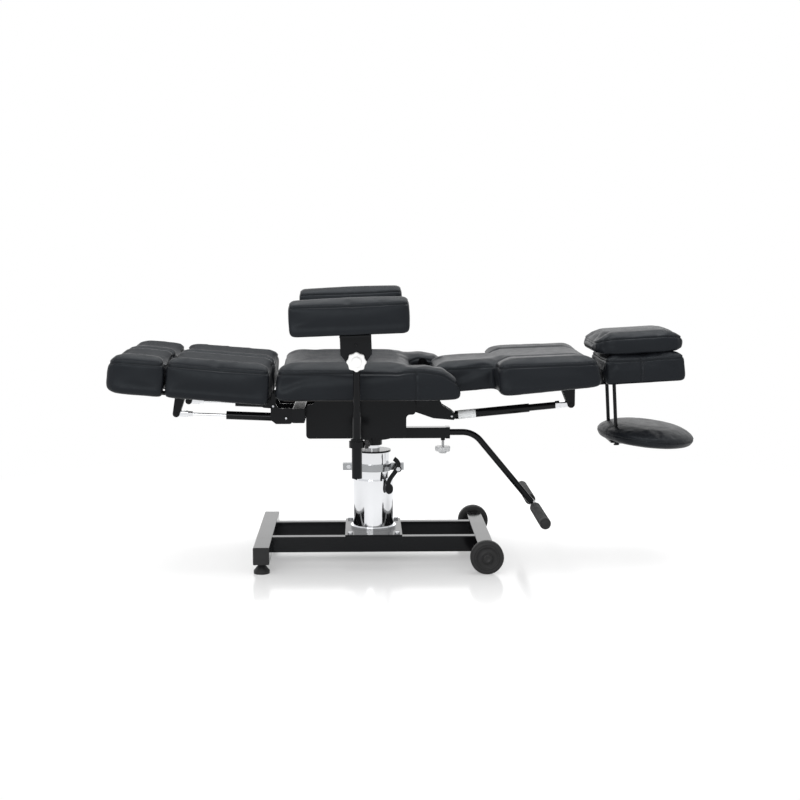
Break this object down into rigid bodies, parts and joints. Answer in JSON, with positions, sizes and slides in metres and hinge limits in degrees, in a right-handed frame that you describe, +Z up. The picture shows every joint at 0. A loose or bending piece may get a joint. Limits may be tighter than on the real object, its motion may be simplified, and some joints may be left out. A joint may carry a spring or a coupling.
{
  "type": "hydraulic tattoo chair",
  "caption": "Padded tattoo chair laid flat on a hydraulic column, with split leg rests, a narrow winged back, a pillow, armrests, an arm shelf and a foot pump lever.",
  "frame": {"origin": "on the floor under the middle of the chair's overall length", "axes": "+X to the head end, -Y to the near side, +Z up"},
  "size_m": [1.8577, 0.8564, 0.8644],
  "materials": {
    "black_paint": "semi-gloss",
    "chrome": "polished",
    "zinc": "satin",
    "upholstery": "smooth leather cloth",
    "black_plastic": "matte",
    "white_plastic": "gloss",
    "tread": "matte",
    "grip_rubber": "matte",
    "board": "raw"
  },
  "bodies": {
    "base": {"base_rail_near": "black_paint", "base_rail_far": "black_paint", "crossbar_foot": "black_paint", "crossbar_head": "black_paint", "crossbar_caps": "black_plastic", "levelling_feet": "black_plastic", "pump_plate": "black_paint", "base_bolts": "zinc", "pump_shroud": "chrome", "pump_sleeve": "chrome", "pump_cap": "black_paint", "brake_clamp": "chrome"},
    "brake_lever": {"brake_lever": "black_paint"},
    "lift": {"piston_rod": "chrome"},
    "seat": {"seat_channel": "black_paint", "cross_tubes": "black_paint", "hinge_plates": "black_paint", "hinge_pins": "black_paint", "seat_board": "board", "seat_pad": "upholstery", "arm_brackets": "black_paint"},
    "pedal": {"pedal_socket": "black_paint"},
    "pedal_knob": {"pedal_knob": "white_plastic"},
    "pedal_bar": {"pedal_tube": "black_paint", "pedal_grips": "grip_rubber"},
    "back": {"back_frame": "black_paint", "back_pad": "upholstery"},
    "back_spring_tube": {"back_spring_tube": "black_paint"},
    "back_spring_rod": {"back_spring_rod": "chrome"},
    "head": {"head_frame": "black_paint", "head_pad": "upholstery", "pillow": "upholstery"},
    "shelf": {"shelf_rods": "black_paint", "shelf_pad": "upholstery"},
    "wheel_near": {"wheel_near": "tread"},
    "leg_near": {"calf_frame_near": "black_paint", "calf_pad_near": "upholstery"},
    "foot_near": {"foot_frame_near": "black_paint", "foot_pad_near": "upholstery"},
    "leg_spring_tube_near": {"leg_spring_tube_near": "black_paint"},
    "leg_spring_rod_near": {"leg_spring_rod_near": "chrome"},
    "arm_sleeve_near": {"arm_sleeve_near": "black_paint"},
    "arm_post_near": {"arm_post_near": "black_paint"},
    "arm_rest_near": {"arm_plate_near": "black_paint", "arm_pad_near": "upholstery"},
    "tilt_knob_near": {"tilt_knob_near": "white_plastic"},
    "height_knob_near": {"height_knob_near": "black_plastic"},
    "wheel_far": {"wheel_far": "tread"},
    "leg_far": {"calf_frame_far": "black_paint", "calf_pad_far": "upholstery"},
    "foot_far": {"foot_frame_far": "black_paint", "foot_pad_far": "upholstery"},
    "leg_spring_tube_far": {"leg_spring_tube_far": "black_paint"},
    "leg_spring_rod_far": {"leg_spring_rod_far": "chrome"},
    "arm_sleeve_far": {"arm_sleeve_far": "black_paint"},
    "arm_post_far": {"arm_post_far": "black_paint"},
    "arm_rest_far": {"arm_plate_far": "black_paint", "arm_pad_far": "upholstery"},
    "tilt_knob_far": {"tilt_knob_far": "white_plastic"},
    "height_knob_far": {"height_knob_far": "black_plastic"}
  },
  "joints": [
    {"name": "column_lift", "type": "slide", "parent": "base", "child": "lift", "axis": [0, 0, 1], "range_m": [0, 0.18]},
    {"name": "seat_swivel", "type": "hinge", "parent": "lift", "child": "seat", "pos_m": [-0.11117, 0, 0.363], "axis": [0, 0, 1], "continuous": true},
    {"name": "brake_pivot", "type": "hinge", "parent": "base", "child": "brake_lever", "pos_m": [-0.03117, -0.061, 0.2915], "axis": [0, -1, 0], "range_deg": [0, 35]},
    {"name": "pedal_pivot", "type": "hinge", "parent": "seat", "child": "pedal", "pos_m": [-0.03717, 0, 0.408], "axis": [0, 1, 0], "range_deg": [0, 8], "stiffness_Nm_per_rad": 80, "springref_deg": -22.92},
    {"name": "pedal_slide", "type": "slide", "parent": "pedal", "child": "pedal_bar", "axis": [1, 0, 0], "range_m": [0, 0.06]},
    {"name": "pedal_knob_turn", "type": "hinge", "parent": "pedal", "child": "pedal_knob", "pos_m": [0.11583, 0, 0.356], "axis": [0, 0, 1], "continuous": true},
    {"name": "back_hinge", "type": "hinge", "parent": "seat", "child": "back", "pos_m": [0.05483, 0, 0.618], "axis": [0, -1, 0], "range_deg": [0, 65]},
    {"name": "back_spring_swing", "type": "hinge", "parent": "seat", "child": "back_spring_tube", "pos_m": [0.14283, 0, 0.457], "axis": [0, -1, 0], "range_deg": [0, 62]},
    {"name": "back_spring_stroke", "type": "slide", "parent": "back_spring_tube", "child": "back_spring_rod", "axis": [0.9955, 0, 0.0949], "range_m": [0, 0.196]},
    {"name": "head_hinge", "type": "hinge", "parent": "back", "child": "head", "pos_m": [0.60283, 0, 0.603], "axis": [0, 1, 0], "range_deg": [0, 35]},
    {"name": "shelf_slide", "type": "slide", "parent": "head", "child": "shelf", "axis": [0.0576, 0, -0.9983], "range_m": [0, 0.045]},
    {"name": "wheel_spin_near", "type": "hinge", "parent": "base", "child": "wheel_near", "pos_m": [0.23733, -0.28, 0.052], "axis": [0, 1, 0], "continuous": true},
    {"name": "leg_hinge_near", "type": "hinge", "parent": "seat", "child": "leg_near", "pos_m": [-0.42317, -0.1455, 0.512], "axis": [0, -1, 0], "range_deg": [0, 70]},
    {"name": "foot_slide_near", "type": "slide", "parent": "leg_near", "child": "foot_near", "axis": [-0.9965, 0, 0.0837], "range_m": [0, 0.1]},
    {"name": "leg_spring_swing_near", "type": "hinge", "parent": "seat", "child": "leg_spring_tube_near", "pos_m": [-0.38317, -0.16, 0.474], "axis": [0, -1, 0], "range_deg": [0, 67]},
    {"name": "leg_spring_stroke_near", "type": "slide", "parent": "leg_spring_tube_near", "child": "leg_spring_rod_near", "axis": [-0.9992, 0, 0.0409], "range_m": [-0.0612, 0]},
    {"name": "arm_swivel_near", "type": "hinge", "parent": "seat", "child": "arm_sleeve_near", "pos_m": [-0.16317, -0.345, 0.427], "axis": [0, 0, 1], "range_deg": [-90, 90]},
    {"name": "arm_lift_near", "type": "slide", "parent": "arm_sleeve_near", "child": "arm_post_near", "axis": [0, 0, 1], "range_m": [0, 0.06]},
    {"name": "arm_tilt_near", "type": "hinge", "parent": "arm_post_near", "child": "arm_rest_near", "pos_m": [-0.16317, -0.36, 0.667], "axis": [0, 1, 0], "range_deg": [-20, 20]},
    {"name": "tilt_knob_turn_near", "type": "hinge", "parent": "arm_post_near", "child": "tilt_knob_near", "pos_m": [-0.16317, -0.37, 0.667], "axis": [0, -1, 0], "continuous": true},
    {"name": "height_knob_turn_near", "type": "hinge", "parent": "seat", "child": "height_knob_near", "pos_m": [-0.13117, -0.345, 0.4165], "axis": [1, 0, 0], "continuous": true},
    {"name": "wheel_spin_far", "type": "hinge", "parent": "base", "child": "wheel_far", "pos_m": [0.23733, 0.28, 0.052], "axis": [0, 1, 0], "continuous": true},
    {"name": "leg_hinge_far", "type": "hinge", "parent": "seat", "child": "leg_far", "pos_m": [-0.42317, 0.1455, 0.512], "axis": [0, -1, 0], "range_deg": [0, 70]},
    {"name": "foot_slide_far", "type": "slide", "parent": "leg_far", "child": "foot_far", "axis": [-0.9965, 0, 0.0837], "range_m": [0, 0.1]},
    {"name": "leg_spring_swing_far", "type": "hinge", "parent": "seat", "child": "leg_spring_tube_far", "pos_m": [-0.38317, 0.16, 0.474], "axis": [0, -1, 0], "range_deg": [0, 67]},
    {"name": "leg_spring_stroke_far", "type": "slide", "parent": "leg_spring_tube_far", "child": "leg_spring_rod_far", "axis": [-0.9992, 0, 0.0409], "range_m": [-0.0612, 0]},
    {"name": "arm_swivel_far", "type": "hinge", "parent": "seat", "child": "arm_sleeve_far", "pos_m": [-0.16317, 0.345, 0.427], "axis": [0, 0, 1], "range_deg": [-90, 90]},
    {"name": "arm_lift_far", "type": "slide", "parent": "arm_sleeve_far", "child": "arm_post_far", "axis": [0, 0, 1], "range_m": [0, 0.06]},
    {"name": "arm_tilt_far", "type": "hinge", "parent": "arm_post_far", "child": "arm_rest_far", "pos_m": [-0.16317, 0.36, 0.667], "axis": [0, 1, 0], "range_deg": [-20, 20]},
    {"name": "tilt_knob_turn_far", "type": "hinge", "parent": "arm_post_far", "child": "tilt_knob_far", "pos_m": [-0.16317, 0.37, 0.667], "axis": [0, 1, 0], "continuous": true},
    {"name": "height_knob_turn_far", "type": "hinge", "parent": "seat", "child": "height_knob_far", "pos_m": [-0.13117, 0.345, 0.4165], "axis": [1, 0, 0], "continuous": true}
  ],
  "couplings": [
    {"joint": "back_spring_swing", "follows": "back_hinge", "ratio": 0.952},
    {"joint": "back_spring_stroke", "follows": "back_hinge", "m_per_rad": 0.17228},
    {"joint": "leg_spring_swing_near", "follows": "leg_hinge_near", "ratio": 0.956},
    {"joint": "leg_spring_stroke_near", "follows": "leg_hinge_near", "m_per_rad": -0.04997},
    {"joint": "leg_spring_swing_far", "follows": "leg_hinge_far", "ratio": 0.956},
    {"joint": "leg_spring_stroke_far", "follows": "leg_hinge_far", "m_per_rad": -0.04997}
  ]
}
